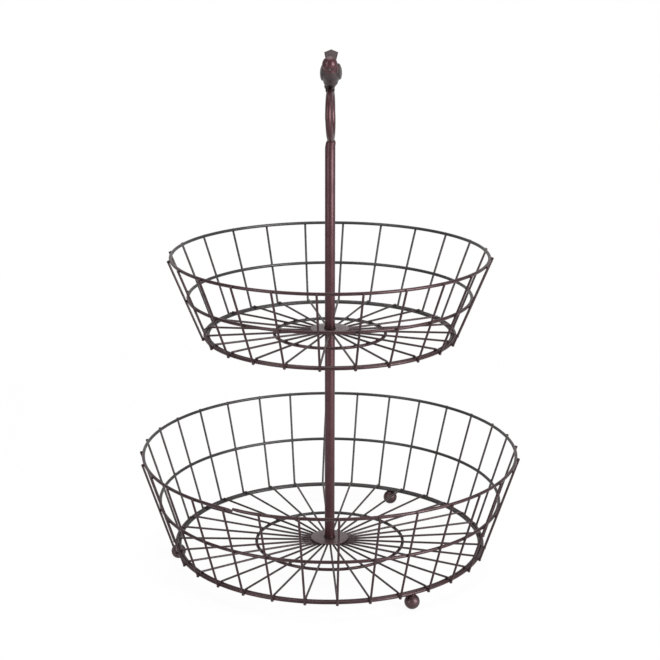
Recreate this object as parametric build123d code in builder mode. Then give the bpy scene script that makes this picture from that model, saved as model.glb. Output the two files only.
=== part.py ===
from build123d import *
from math import atan2, cos, degrees, hypot, pi, radians, sin
import os

# Sizes are in millimetres and angles in degrees. The origin is on the table, under the pole.

# Wire stock
hoop_wire = 2.7
side_wire = 1.9
spoke_wire = 1.8
wire_sides = 6
weld_gap = 0.05

# Ball feet, at the angles where they stand under the lower basket
foot_ball_diameter = 12.5
foot_angles = (64.5, 185, 300.7)
ball_sides = 16

# Lower basket, with rises counted from its bottom hoop
lower_rim_radius = 158.5
lower_bottom_radius = 132.1
lower_inner_radius = 63.3
lower_rim_rise = 81.3
lower_middle_rise = 40.2
lower_floor_dish = 3.2
lower_wire_count = 32
lower_first_angle = 2.9
rim_joint_angle = 241.8
rim_joint_gap = 0.4

# Upper basket, with rises counted from its bottom hoop
upper_rim_radius = 131.7
upper_bottom_radius = 104.6
upper_inner_radius = 46.6
upper_rim_rise = 66.6
upper_middle_rise = 32.7
upper_floor_dish = 0.4
upper_wire_count = 24
upper_first_angle = 10.9

# Ends of the wires: how far they run past the hoops, and the room between spokes at the hub
side_wire_top_end = 1.4
side_wire_bottom_end = 2.3
spoke_end_inset = 0.4
spoke_crowding_room = 0.8

# Hub plates
plate_diameter = 32.5
plate_thickness = 1.2

# Pole
pole_diameter = 8.5
pole_wall = 0.8
lower_tube_length = 185.0
upper_tube_length = 150.0
pole_washer_diameter = 9.9
pole_washer_thickness = 1.6
turning_gap = 0.15

# Thread and what it joins
thread_diameter = 4.0
thread_clearance = 0.15
bolt_hole_clearance = 0.3
insert_length = 12.0
insert_fit = 0.05
stud_engagement = 8.0
screw_reach = 9.0
screw_head_diameter = 8.0
screw_head_height = 2.8
screw_slot_width = 1.2
screw_slot_depth = 1.4
base_washer_diameter = 14.0
base_washer_thickness = 1.0

# Pole cap and loop handle
cap_height = 5.4
cap_top_diameter = 7.4
cap_spigot_length = 8.0
cap_sides = 24
saddle_depth = 1.0
loop_height = 45.5
loop_rod = 5.6
loop_turn = -3.8
loop_runs = 40
loop_rod_sides = 8

# Bird on the loop, with reaches forward and heights above the top of the loop
bird_turn = -2.0
bird_sides = 12
bird_body_length = 30.0
bird_body_width = 17.8
bird_body_depth = 18.6
bird_body_forward = 1.0
bird_body_height = 10.8
bird_body_tilt = 26.0
bird_head_diameter = 12.0
bird_head_forward = 10.6
bird_head_height = 19.3
bird_beak_length = 4.6
bird_beak_diameter = 3.6
bird_beak_drop = 3.0
bird_beak_tilt = 20.0
bird_beak_taper_share = 0.8
bird_tail_length = 21.0
bird_tail_root_width = 5.6
bird_tail_tip_width = 11.3
bird_tail_peak = 1.6
bird_tail_thickness = 1.6
bird_tail_tilt = 49.0
bird_tail_root_back = 6.0
bird_tail_root_height = 11.3
bird_leg_diameter = 2.2
bird_leg_spread = 3.2
bird_foot_length = 6.0

# Rings of an egg or a ball: where they stand on its half length, and how wide the two end rings are
egg_station_shares = (-1.0, -0.82, -0.47, 0.0, 0.47, 0.82, 1.0)
egg_end_share = 0.25

os.makedirs("parts", exist_ok=True)


def write_node(part, name):
    part.label = name
    export_step(part, f"parts/{name}.step")


# Heights, worked up from the table
hoop_half = hoop_wire / 2
hoop_to_spoke = hoop_half + weld_gap + spoke_wire / 2
hoop_to_side = hoop_half + weld_gap + side_wire / 2
spoke_to_plate = spoke_wire / 2 + weld_gap
plate_radius = plate_diameter / 2

lower_bottom_height = foot_ball_diameter + weld_gap + hoop_half
lower_spoke_height = lower_bottom_height + hoop_to_spoke
lower_plate_base = lower_spoke_height - lower_floor_dish + spoke_to_plate
lower_plate_top = lower_plate_base + plate_thickness
lower_tube_base = lower_plate_top + pole_washer_thickness
lower_tube_top = lower_tube_base + lower_tube_length

upper_plate_base = lower_tube_top + turning_gap
upper_plate_top = upper_plate_base + plate_thickness
upper_spoke_height = upper_plate_base - spoke_to_plate + upper_floor_dish
upper_bottom_height = upper_spoke_height - hoop_to_spoke
upper_washer_base = upper_plate_top + turning_gap
upper_tube_base = upper_washer_base + pole_washer_thickness + turning_gap
upper_tube_top = upper_tube_base + upper_tube_length

loop_radius = (loop_height - loop_rod) / 2
loop_base = upper_tube_top + cap_height - saddle_depth
loop_centre_height = loop_base + loop_height / 2
loop_top = loop_base + loop_height


# Wire hoops: a six-sided wire carried round many short straight runs, with a corner at each side wire
def wire_hoop(radius, height, runs, first_angle, open_gap=0.0):
    open_angle = degrees(open_gap / radius)
    start = first_angle + open_angle / 2
    step = (360 - open_angle) / runs
    angles = [radians(start + step * k) for k in range(runs + 1)]
    corners = [(radius * cos(a), radius * sin(a), height) for a in angles]
    if open_gap == 0:
        middle = tuple((a + b) / 2 for a, b in zip(corners[0], corners[1]))
        corners = [middle] + corners[1:runs] + [corners[0], middle]
    with BuildPart() as hoop:
        with BuildLine() as run:
            Polyline(*corners)
        outward = (cos(angles[0]), sin(angles[0]), 0)
        with BuildSketch(Plane(run.line @ 0, x_dir=outward, z_dir=run.line % 0)):
            RegularPolygon(hoop_half, wire_sides)
        sweep(transition=Transition.RIGHT)
    return hoop.part


# Straight wires: one is drawn over the X axis, from one point (reach, height) to another, then repeated
def straight_wires(start, end, wire, count, first_angle):
    reach, rise = end[0] - start[0], end[1] - start[1]
    with BuildPart() as one_wire:
        with BuildSketch(Plane((start[0], 0, start[1]), x_dir=(0, 1, 0), z_dir=(reach, 0, rise))):
            RegularPolygon(wire / 2, wire_sides)
        extrude(amount=hypot(reach, rise))
    with BuildPart() as wires:
        with PolarLocations(0, count, start_angle=first_angle):
            add(one_wire.part)
    return wires.part


# Corner points of a flat-sided egg or ball: rings that shrink towards both ends as on an ellipse
def egg_points(centre, direction, sideways, sizes, sides):
    length, width, depth = sizes
    upright = direction.cross(sideways)
    points = []
    for share in egg_station_shares:
        size = max((1 - share * share) ** 0.5, egg_end_share)
        middle = centre + direction * (length / 2 * share)
        for k in range(sides):
            turn = 2 * pi * (k + 0.5) / sides
            across = sideways * (width / 2 * size * cos(turn))
            points.append(middle + across + upright * (depth / 2 * size * sin(turn)))
    return points


# One basket: rim, middle and bottom hoops, the floor's two hoops, side wires, spokes and hub plate
def basket(name, bottom_height, rim, bottom, inner, rim_rise, middle_rise, dish, count, first_angle, joint_gap):
    lean = (rim - bottom) / rim_rise
    slant = hypot(rim - bottom, rim_rise)
    along = ((rim - bottom) / slant, rim_rise / slant)
    outward = (along[1], -along[0])
    runs = 2 * count

    if joint_gap > 0:
        rim_hoop = wire_hoop(rim, bottom_height + rim_rise, runs, rim_joint_angle, joint_gap)
    else:
        rim_hoop = wire_hoop(rim, bottom_height + rim_rise, runs, first_angle)
    write_node(rim_hoop, f"{name}_rim_hoop")
    middle = bottom + lean * middle_rise
    write_node(wire_hoop(middle, bottom_height + middle_rise, runs, first_angle), f"{name}_middle_hoop")
    write_node(wire_hoop(bottom, bottom_height, runs, first_angle), f"{name}_bottom_hoop")

    # The floor hoop lies inside the bottom hoop, side by side with it
    floor = bottom - hoop_wire - weld_gap
    write_node(wire_hoop(floor, bottom_height, count, first_angle), f"{name}_floor_hoop")

    # Spokes fall from the bottom hoop to the hub plate, and the inner hoop hangs under them
    spoke_height = bottom_height + hoop_to_spoke
    spoke_end = bottom - spoke_end_inset
    spoke_start = count * spoke_wire / (2 * pi) + spoke_crowding_room
    fall = dish / (spoke_end - plate_radius)
    start_height = spoke_height - fall * (spoke_end - spoke_start)
    spokes = straight_wires((spoke_start, start_height), (spoke_end, spoke_height), spoke_wire, count, first_angle)
    write_node(spokes, f"{name}_floor_spokes")
    inner_height = spoke_height - fall * (spoke_end - inner) - hoop_to_spoke
    write_node(wire_hoop(inner, inner_height, count, first_angle), f"{name}_inner_hoop")

    # Side wires lie against the outside of the three wall hoops
    side_reach = bottom + outward[0] * hoop_to_side
    side_height = bottom_height + outward[1] * hoop_to_side
    low = (side_reach - along[0] * side_wire_bottom_end, side_height - along[1] * side_wire_bottom_end)
    top_run = slant + side_wire_top_end
    high = (side_reach + along[0] * top_run, side_height + along[1] * top_run)
    write_node(straight_wires(low, high, side_wire, count, first_angle), f"{name}_side_wires")


basket(
    "lower", lower_bottom_height, lower_rim_radius, lower_bottom_radius, lower_inner_radius,
    lower_rim_rise, lower_middle_rise, lower_floor_dish, lower_wire_count, lower_first_angle, rim_joint_gap,
)
basket(
    "upper", upper_bottom_height, upper_rim_radius, upper_bottom_radius, upper_inner_radius,
    upper_rim_rise, upper_middle_rise, upper_floor_dish, upper_wire_count, upper_first_angle, 0,
)

# Hub plates, on top of the spokes, with a hole for the screw or the stud
bolt_hole_radius = thread_diameter / 2 + bolt_hole_clearance
with BuildPart() as lower_hub_plate:
    with BuildSketch(Plane.XY.offset(lower_plate_base)):
        Circle(plate_radius)
        Circle(bolt_hole_radius, mode=Mode.SUBTRACT)
    extrude(amount=plate_thickness)
write_node(lower_hub_plate.part, "lower_hub_plate")

with BuildPart() as upper_hub_plate:
    with BuildSketch(Plane.XY.offset(upper_plate_base)):
        Circle(plate_radius)
        Circle(bolt_hole_radius, mode=Mode.SUBTRACT)
    extrude(amount=plate_thickness)
write_node(upper_hub_plate.part, "upper_hub_plate")

# Ball feet, welded under the line where the bottom hoop and the floor hoop meet
foot_reach = lower_bottom_radius - hoop_half
with BuildPart() as ball_feet:
    for angle in foot_angles:
        centre = Vector(foot_reach * cos(radians(angle)), foot_reach * sin(radians(angle)), foot_ball_diameter / 2)
        sizes = (foot_ball_diameter, foot_ball_diameter, foot_ball_diameter)
        ConvexPolyhedron(egg_points(centre, Vector(0, 0, 1), Vector(1, 0, 0), sizes, ball_sides))
write_node(ball_feet.part, "ball_feet")


# Pole tubes
def pole_tube(base, length):
    with BuildPart() as tube:
        with BuildSketch(Plane.XY.offset(base)):
            Circle(pole_diameter / 2)
            Circle(pole_diameter / 2 - pole_wall, mode=Mode.SUBTRACT)
        extrude(amount=length)
    return tube.part


write_node(pole_tube(lower_tube_base, lower_tube_length), "lower_pole_tube")
write_node(pole_tube(upper_tube_base, upper_tube_length), "upper_pole_tube")


# Threaded inserts: hexagon nuts pressed into the ends of the tubes
def threaded_insert(base):
    with BuildPart() as insert:
        with BuildSketch(Plane.XY.offset(base)):
            RegularPolygon(pole_diameter / 2 - pole_wall - insert_fit, wire_sides)
            Circle(thread_diameter / 2 + thread_clearance, mode=Mode.SUBTRACT)
        extrude(amount=insert_length)
    return insert.part


write_node(threaded_insert(lower_tube_base), "lower_pole_foot_insert")
write_node(threaded_insert(lower_tube_top - insert_length), "lower_pole_top_insert")
write_node(threaded_insert(upper_tube_base), "upper_pole_foot_insert")


# Pole washers, the small flares at the foot of each pole
def pole_washer(base):
    with BuildPart() as washer:
        with BuildSketch(Plane.XY.offset(base)):
            Circle(pole_washer_diameter / 2)
            Circle(bolt_hole_radius, mode=Mode.SUBTRACT)
        extrude(amount=pole_washer_thickness)
    return washer.part


write_node(pole_washer(lower_plate_top), "lower_pole_washer")
write_node(pole_washer(upper_washer_base), "upper_pole_washer")

# Joining stud: held in the lower pole's top, it passes the upper basket and enters the upper pole
stud_base = lower_tube_top - stud_engagement
with BuildPart() as joining_stud:
    with BuildSketch(Plane.XY.offset(stud_base)):
        Circle(thread_diameter / 2)
    extrude(amount=upper_tube_base + stud_engagement - stud_base)
write_node(joining_stud.part, "joining_stud")

# Base washer and base screw, under the lower hub plate inside the ring of spoke ends
base_washer_base = lower_plate_base - base_washer_thickness
with BuildPart() as base_washer:
    with BuildSketch(Plane.XY.offset(base_washer_base)):
        Circle(base_washer_diameter / 2)
        Circle(bolt_hole_radius, mode=Mode.SUBTRACT)
    extrude(amount=base_washer_thickness)
write_node(base_washer.part, "base_washer")

screw_head_base = base_washer_base - screw_head_height
with BuildPart() as base_screw:
    with BuildSketch(Plane.XY.offset(base_washer_base)):
        Circle(thread_diameter / 2)
    extrude(amount=lower_tube_base + screw_reach - base_washer_base)
    with BuildSketch(Plane.XY.offset(screw_head_base)):
        Circle(screw_head_diameter / 2)
    extrude(amount=screw_head_height)
    with BuildSketch(Plane.XY.offset(screw_head_base)):
        Rectangle(screw_head_diameter, screw_slot_width)
    extrude(amount=screw_slot_depth, mode=Mode.SUBTRACT)
write_node(base_screw.part, "base_screw")

# Loop handle: an eight-sided rod bent round, nearly edge-on to the front
loop_plane = Plane(
    (0, 0, loop_centre_height),
    x_dir=(sin(radians(loop_turn)), -cos(radians(loop_turn)), 0),
    z_dir=(cos(radians(loop_turn)), sin(radians(loop_turn)), 0),
)


def loop_of_rod(rod):
    corner_angles = [2 * pi * (k + 0.5) / loop_runs for k in range(loop_runs)]
    corners = [(loop_radius * cos(a), loop_radius * sin(a)) for a in corner_angles]
    middle = (loop_radius * cos(pi / loop_runs), 0)
    with BuildPart() as loop:
        with BuildLine(loop_plane) as run:
            Polyline(middle, *corners, middle)
        with BuildSketch(Plane(run.line @ 0, x_dir=loop_plane.z_dir, z_dir=run.line % 0)):
            RegularPolygon(rod / 2, loop_rod_sides, rotation=180 / loop_rod_sides)
        sweep(transition=Transition.RIGHT)
    return loop.part


loop_handle = loop_of_rod(loop_rod)
write_node(loop_handle, "loop_handle")

# Pole cap: closes the top of the tube, tapers in, and has a saddle for the foot of the loop
with BuildPart() as pole_cap:
    with BuildSketch(Plane.XY.offset(upper_tube_top)):
        RegularPolygon(pole_diameter / 2, cap_sides)
    cap_taper = degrees(atan2((pole_diameter - cap_top_diameter) / 2, cap_height))
    extrude(amount=cap_height, taper=cap_taper)
    with BuildSketch(Plane.XY.offset(upper_tube_top - cap_spigot_length)):
        RegularPolygon(pole_diameter / 2 - pole_wall - insert_fit, wire_sides)
    extrude(amount=cap_spigot_length)
    saddle_radius = loop_rod / 2 + weld_gap
    saddle_plane = Plane((0, 0, loop_base + loop_rod / 2), x_dir=loop_plane.z_dir, z_dir=loop_plane.x_dir)
    with BuildSketch(saddle_plane):
        RegularPolygon(saddle_radius, loop_rod_sides, rotation=180 / loop_rod_sides)
    extrude(amount=pole_diameter, both=True, mode=Mode.SUBTRACT)
write_node(pole_cap.part, "pole_cap")

# Bird: one casting of egg-shaped body, round head, beak, raised tail and two legs
bird_forward = Vector(sin(radians(bird_turn)), -cos(radians(bird_turn)), 0)
bird_left = Vector(cos(radians(bird_turn)), sin(radians(bird_turn)), 0)
bird_base = Vector(0, 0, loop_top)


def bird_point(forward, height):
    return bird_base + bird_forward * forward + Vector(0, 0, height)


def bird_direction(tilt):
    return bird_forward * cos(radians(tilt)) + Vector(0, 0, sin(radians(tilt)))


body_sizes = (bird_body_length, bird_body_width, bird_body_depth)
head_sizes = (bird_head_diameter, bird_head_diameter, bird_head_diameter)
beak_root = bird_head_forward + bird_head_diameter / 2 - bird_beak_diameter / 2
tail_plane = Plane(
    bird_point(-bird_tail_root_back, bird_tail_root_height), x_dir=bird_left,
    z_dir=bird_direction(180 - bird_tail_tilt).cross(bird_left),
)
tail_side = -1 if tail_plane.y_dir.Z < 0 else 1
with BuildPart() as bird_finial:
    body_centre = bird_point(bird_body_forward, bird_body_height)
    ConvexPolyhedron(egg_points(body_centre, bird_direction(bird_body_tilt), bird_left, body_sizes, bird_sides))
    head_centre = bird_point(bird_head_forward, bird_head_height)
    ConvexPolyhedron(egg_points(head_centre, bird_direction(0), bird_left, head_sizes, bird_sides))
    beak_start = bird_point(beak_root, bird_head_height - bird_beak_drop)
    with BuildSketch(Plane(beak_start, x_dir=bird_left, z_dir=bird_direction(-bird_beak_tilt))):
        RegularPolygon(bird_beak_diameter / 2, wire_sides)
    point_angle = degrees(atan2(bird_beak_diameter / 2, bird_beak_length))
    extrude(amount=bird_beak_length, taper=point_angle * bird_beak_taper_share)
    with BuildSketch(tail_plane):
        Polygon(
            (-bird_tail_root_width / 2, 0),
            (bird_tail_root_width / 2, 0),
            (bird_tail_tip_width / 2, tail_side * (bird_tail_length - bird_tail_peak)),
            (0, tail_side * bird_tail_length),
            (-bird_tail_tip_width / 2, tail_side * (bird_tail_length - bird_tail_peak)),
            align=None,
        )
    extrude(amount=bird_tail_thickness / 2, both=True)
    leg_length = bird_body_height + loop_rod / 2
    for side in (-1, 1):
        foot = bird_point(bird_body_forward, -loop_rod / 2) + bird_left * (side * bird_leg_spread)
        with BuildSketch(Plane(foot, x_dir=bird_left, z_dir=(0, 0, 1))):
            Rectangle(bird_leg_diameter, bird_foot_length)
        extrude(amount=leg_length)
    add(loop_of_rod(loop_rod + 2 * weld_gap), mode=Mode.SUBTRACT)
write_node(bird_finial.part, "bird_finial")
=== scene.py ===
"""Tiered wire basket: round coated wires, poles, handle and bird around the packed parts.

All lengths are in metres and angles in radians, in the frame of the packed model: the table is at zero
height, the pole stands on the origin and the bird looks along -Y. Wires and hoops are placed by reading
the packed parts, so they stay where the parts are.
"""

import bmesh
import bpy
import numpy as np
from bpy.props import FloatProperty, FloatVectorProperty, IntProperty, PointerProperty
from mathutils import Matrix, Vector


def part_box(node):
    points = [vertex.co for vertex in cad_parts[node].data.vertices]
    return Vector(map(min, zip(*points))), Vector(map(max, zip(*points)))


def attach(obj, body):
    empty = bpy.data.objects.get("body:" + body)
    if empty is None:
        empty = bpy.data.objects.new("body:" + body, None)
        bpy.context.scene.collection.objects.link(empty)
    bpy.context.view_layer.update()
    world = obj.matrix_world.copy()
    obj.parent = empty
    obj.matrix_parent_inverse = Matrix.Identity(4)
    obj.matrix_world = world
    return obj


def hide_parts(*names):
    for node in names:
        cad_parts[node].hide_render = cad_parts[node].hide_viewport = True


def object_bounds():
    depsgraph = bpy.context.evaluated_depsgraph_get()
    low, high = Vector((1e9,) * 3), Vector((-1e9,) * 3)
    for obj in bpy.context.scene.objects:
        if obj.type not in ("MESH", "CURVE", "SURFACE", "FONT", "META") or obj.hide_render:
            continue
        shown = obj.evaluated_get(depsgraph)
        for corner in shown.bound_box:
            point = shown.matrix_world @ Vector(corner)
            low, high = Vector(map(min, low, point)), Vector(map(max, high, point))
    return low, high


bl_info = {
    "name": "Tiered wire basket",
    "version": (1, 0, 0),
    "blender": (4, 5, 0),
    "location": "View3D > Sidebar > Basket",
    "description": "Builds the visible pieces of a two-tier wire basket around its packed parts",
    "category": "Object",
}

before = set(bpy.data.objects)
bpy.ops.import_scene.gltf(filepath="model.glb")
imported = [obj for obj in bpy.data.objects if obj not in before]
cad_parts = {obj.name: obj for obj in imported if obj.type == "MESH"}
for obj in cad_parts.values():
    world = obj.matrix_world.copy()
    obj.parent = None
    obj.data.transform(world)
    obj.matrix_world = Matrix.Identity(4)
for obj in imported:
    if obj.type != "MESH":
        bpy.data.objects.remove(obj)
cad_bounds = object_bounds()

MM = 0.001
TAU = 2 * np.pi

LOWER_BODY = "lower_basket"
UPPER_BODY = "upper_basket"
WASHER_BODY = "pole_washer"
POLE_BODY = "upper_pole"
HOOPS = ("rim_hoop", "middle_hoop", "bottom_hoop", "floor_hoop", "inner_hoop")
SIDE_HOOPS, FLOOR_HOOPS = HOOPS[:3], HOOPS[2:]
PLATED_PARTS = (
    "base_screw", "base_washer", "lower_pole_foot_insert", "lower_pole_top_insert", "upper_pole_foot_insert")

UP = np.array([0.0, 0.0, 1.0])
UPRIGHT_AXES = np.eye(3)[[2, 0, 1]]  # an egg's three directions, with the first one upright
BACK_REACH = 0.75  # how far round from the back a rim's turn is felt, as an angle
JOINT_SWAY = 9 * MM  # how far along the lower rim its ends' step in height is felt
SMALL_GAP = 0.05 * MM  # between the pole and its cap
ROD_SIDES = 14


# Sizes and colours that a user would change


def a_length(name, description, millimetres):
    """A length setting, given here in millimetres."""
    return FloatProperty(name=name, description=description, default=millimetres * MM, unit="LENGTH")


def an_angle(name, description, radians):
    """An angle setting."""
    return FloatProperty(name=name, description=description, default=radians, subtype="ANGLE")


def a_share(name, description, value):
    """A setting from 0 to 1."""
    return FloatProperty(name=name, description=description, default=value, subtype="FACTOR")


def a_number(name, description, value):
    """A setting that is a plain number."""
    return FloatProperty(name=name, description=description, default=value)


def a_colour(name, description, *shade):
    """A colour setting, as red, green and blue."""
    return FloatVectorProperty(name=name, description=description, subtype="COLOR", size=3, default=shade)


def a_tone(where, level, greying, varnish=0.3):
    """A setting for the coat in one place: how light and how grey it is, and how much clear top coat it has."""
    return FloatVectorProperty(
        name=f"Coat on {where}", description=f"Lightness, greying and top coat on {where}", size=3,
        default=(level, greying, varnish))


class WireSizes(bpy.types.PropertyGroup):
    """Wire stock and the wires of both tiers"""

    hoop_wire: a_length("Hoop wire", "Diameter of the hoops' wire", 2.7)
    side_wire: a_length("Side wire", "Diameter of the side wires", 1.9)
    spoke_wire: a_length("Spoke wire", "Diameter of the floor spokes", 1.8)
    lower_count: IntProperty(
        name="Lower wires", description="Side wires and spokes of the lower tier", default=32)
    upper_count: IntProperty(
        name="Upper wires", description="Side wires and spokes of the upper tier", default=24)
    end_round: a_length("End rounding", "Rounding of a cut wire end", 0.35)
    waviness: a_length("Waviness", "How far a hoop strays from a true circle", 0.12)
    hand_spread: an_angle("Hand spread", "Scatter of the wires' angles", 0.0035)
    joint_angle: an_angle("Rim joint", "Angle of the open joint in the lower rim", np.radians(241.8))
    joint_gap: a_length("Rim joint gap", "Gap between the lower rim's two ends", 0.45)
    joint_step: a_length("Rim joint step", "How far the rim's ends miss each other in height", 1.7)
    side_trim: a_length("Side trim", "Length ground off the low ends of the side wires", 2.1)
    spoke_trim: a_length("Spoke trim", "Length ground off the outer ends of the spokes", 0.9)
    end_knob: a_length("End knob", "Diameter of the blob at a side wire's low end", 2.6)
    lower_twist: an_angle("Lower twist", "Turn of the lower rim against its floor at the back", 0.012)
    upper_twist: an_angle("Upper twist", "Turn of the upper rim against its floor at the back", 0.0165)
    hidden_lean: an_angle("Hidden lean", "Further lean of the one wire that stands behind the pole", 0.016)
    weld_reach: a_length("Weld reach", "Half the length of a weld along its wires", 1.15)
    weld_height: a_length("Weld height", "Half the thickness of a weld", 0.6)


class MetalSizes(bpy.types.PropertyGroup):
    """Roundings of the plates, poles, feet and handle"""

    plate_edge: a_length("Plate edge", "Rounding of a hub plate's edge", 0.35)
    tube_edge: a_length("Tube edge", "Rounding of a tube's ends", 0.25)
    tube_wall: a_length("Tube wall", "Wall of the pole tubes", 0.8)
    bolt_hole: a_length("Bolt hole", "Radius of the holes in plates and washers", 2.3)
    thread_pitch: a_length("Thread pitch", "Rise of the stud's thread in one turn", 0.7)
    thread_depth: a_length("Thread depth", "Depth of the stud's thread", 0.38)
    foot_ball: a_length("Foot ball", "Diameter of a ball foot", 12.5)
    foot_reach: a_length("Foot reach", "Distance of the feet from the pole's axis", 130.75)
    loop_rod: a_length("Loop rod", "Diameter of the loop handle's rod", 5.6)
    loop_turn: an_angle("Loop turn", "Turn of the loop from edge-on", np.radians(-3.8))
    foot_shift: a_length("Foot shift", "How far the loop's foot and the cap's crown stand to the right", 0.7)
    cap_top: a_length("Cap top", "Diameter of the pole cap's narrow end", 8.0)


class BirdSizes(bpy.types.PropertyGroup):
    """The bird that sits on the loop"""

    turn: an_angle("Turn", "Turn of the bird from looking straight ahead", np.radians(-2.0))
    voxel: a_length("Voxel", "Fineness of the casting's skin", 0.24)
    head: a_length("Head", "Diameter of the head", 12.4)
    body_width: a_length("Body width", "Width over the folded wings", 17.6)
    tail_length: a_length("Tail length", "Length of the tail", 21.85)
    tail_width: a_length("Tail width", "Width of the tail's tip", 11.4)


class FinishColours(bpy.types.PropertyGroup):
    """Colours of the two finishes"""

    coat: a_colour("Coat", "Bronze coat", 0.063, 0.0235, 0.0275)
    coat_dark: a_colour("Coat shade", "Darker patches of the coat", 0.043, 0.0155, 0.0185)
    coat_fleck: a_colour("Coat fleck", "Metal flecks in the coat", 0.12, 0.068, 0.067)
    powder_tone: a_tone("the poles, the cap and the loop", 1.0, 0.0)
    wire_tone: a_tone("thin wire", 0.77, 0.2)
    # Painted reflection: the wires' inner faces are coloured lighter and greyer.
    inward_painted_reflection_tone: a_tone("the wires' inner faces", 1.0, 0.93)
    # Painted reflection: the spokes are coloured lighter and greyer than the side wires, for the light from behind
    # and above that they mirror.
    spoke_tone: a_tone("the floor spokes", 0.95, 0.55)
    # Painted reflection: the plates are coloured lighter and greyer, for the light from behind and above that they
    # mirror.
    sheet_tone: a_tone("the flat plates", 1.7, 0.5, 0.6)
    ball_tone: a_tone("the ball feet", 1.12, 0.35)
    # Painted shade: the washers are coloured dark, for the shade where the poles meet the plates.
    joint_tone: a_tone("the washers", 0.45, 0.0, 0.1)
    # Painted reflection: the bird's breast and tail are coloured lighter and greyer than its red head.
    cast_tone: a_tone("the bird's breast and tail", 1.1, 0.65)
    plated: a_colour("Plated steel", "Zinc plating of threaded parts", 0.58, 0.57, 0.54)


class StageSettings(bpy.types.PropertyGroup):
    """Camera, room and floor"""

    camera_place: FloatVectorProperty(
        name="Camera place", description="Where the camera stands", subtype="TRANSLATION", size=3,
        default=(4.47 * MM, -1330.99 * MM, 570.4 * MM))
    camera_dip: an_angle("Camera dip", "How far the camera looks down", 0.2705)
    camera_heading: an_angle("Camera heading", "Turn of the camera about the upright", -0.0033)
    camera_roll: an_angle("Camera roll", "Turn of the camera about its view", 0.0015)
    camera_lens: a_number("Lens", "Focal length in millimetres on a sensor 36 wide", 89.85)
    camera_sensor: a_number("Sensor", "Sensor width in millimetres", 36.0)
    room_light: a_number("Room light", "Strength of the light that the room sheds", 0.5)
    near_mirrored: a_share("Near mirrored", "How bright the metal mirrors the camera's side of the room", 0.27)
    far_mirrored: a_share("Far mirrored", "How bright the metal mirrors the far side of the room", 0.8)
    floor_glow: a_share("Floor glow", "Share of plain white in the floor as the eye sees it", 0.93)
    floor_mirrored: a_share("Floor mirrored", "The same share as the metal mirrors it", 0.17)
    # Painted glow: the floor's extra brightness in reflections towards the right lamp.
    floor_painted_streak: a_share("Floor streak", "How much brighter it is mirrored towards the right lamp", 0.6)
    shadow_reach: a_length("Shadow reach", "How far from the pole the floor shows shade", 450)


GROUPS = (
    (WireSizes, "basket_wires"),
    (MetalSizes, "basket_metal"),
    (BirdSizes, "basket_bird"),
    (FinishColours, "basket_colours"),
    (StageSettings, "basket_stage"),
)

# Each lamp's place, its size and its power in watts
LAMPS = {
    "right_softbox": ((1.26, -0.98, 0.60), (0.95, 1.2), 43),
    "left_softbox": ((-1.15, -1.05, 0.7), (0.5, 1.4), 14),
    "top_softbox": ((0.0, 0.35, 1.9), (1.4, 1.4), 20),
}
LAMP_TARGET = (0, 0, 0.25)
# Painted glow: the way along which the floor shows brighter in reflections.
PAINTED_STREAK_WAY = (0.84, -0.54, 0.0)  # from the pole towards the right lamp
WHITE, WARM_WHITE = (1.0, 1.0, 1.0), (1.0, 0.985, 0.985)


# Shapes: an array of points with lists of faces


def once_round(count):
    """Angles evenly spaced once round, from 0."""
    return np.arange(count) * TAU / count


def around(reach, angle, height):
    """Points at (reach * cos angle, reach * sin angle, height), with the three broadcast together."""
    reach, angle, height = np.broadcast_arrays(reach, angle, height)
    return np.stack([reach * np.cos(angle), reach * np.sin(angle), height], -1)


def grid_faces(rows, columns, close_rows=False, flip=False):
    """Quads between neighbouring points of a grid, row by row; its columns close up, and its rows if asked."""
    r = np.arange(rows if close_rows else rows - 1)
    r, c = (a.ravel() for a in np.meshgrid(r, np.arange(columns), indexing="ij"))
    below, beside = (r + 1) % rows, (c + 1) % columns
    corners = [r * columns + c, r * columns + beside, below * columns + beside, below * columns + c]
    quads = np.stack(corners, 1)
    return (quads[:, ::-1] if flip else quads).tolist()


def end_faces(rows, columns):
    """One many-sided face over the first row of a grid and one over its last, both facing outwards."""
    first = np.arange(columns)[::-1]
    last = np.arange(columns) + (rows - 1) * columns
    return [first.tolist(), last.tolist()]


def strip_ends(rows, columns):
    """A flat tube's two ends, each closed by strips between the points k and columns - k of its ring."""
    ends = []
    for start in (0, (rows - 1) * columns):
        for k in range(columns // 2):
            corners = (k, k + 1, columns - k - 1, (columns - k) % columns)
            ends.append([start + i for i in dict.fromkeys(corners)])
    return ends


def grid_shape(points, closed=False, flip=False, ends=end_faces):
    """A tube of rows of points: quads between the rows, and either both ends or a run that closes up."""
    rows, columns = points.shape[:2]
    faces = grid_faces(rows, columns, closed, flip)
    return points.reshape(-1, 3), faces if closed else faces + ends(rows, columns)


def join_shapes(shapes):
    """Several shapes as one: their points in a row, and their faces renumbered to match."""
    points, faces, start = [], [], 0
    for shape_points, shape_faces in shapes:
        points.append(shape_points.reshape(-1, 3))
        faces += [[i + start for i in face] for face in shape_faces]
        start += points[-1].shape[0]
    return np.concatenate(points), faces


def repeat_shape(shape, angles, shifts):
    """Copies of one shape, each turned about the upright by its angle and then moved by its shift."""
    points, faces = shape
    c, s, o, i = np.cos(angles), np.sin(angles), np.zeros(len(angles)), np.ones(len(angles))
    turns = np.stack([np.stack([c, -s, o], 1), np.stack([s, c, o], 1), np.stack([o, o, i], 1)], 1)
    copies = np.einsum("nij,pj->npi", turns, points) + shifts[:, None, :]
    return join_shapes([(copy, faces) for copy in copies])


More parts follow.
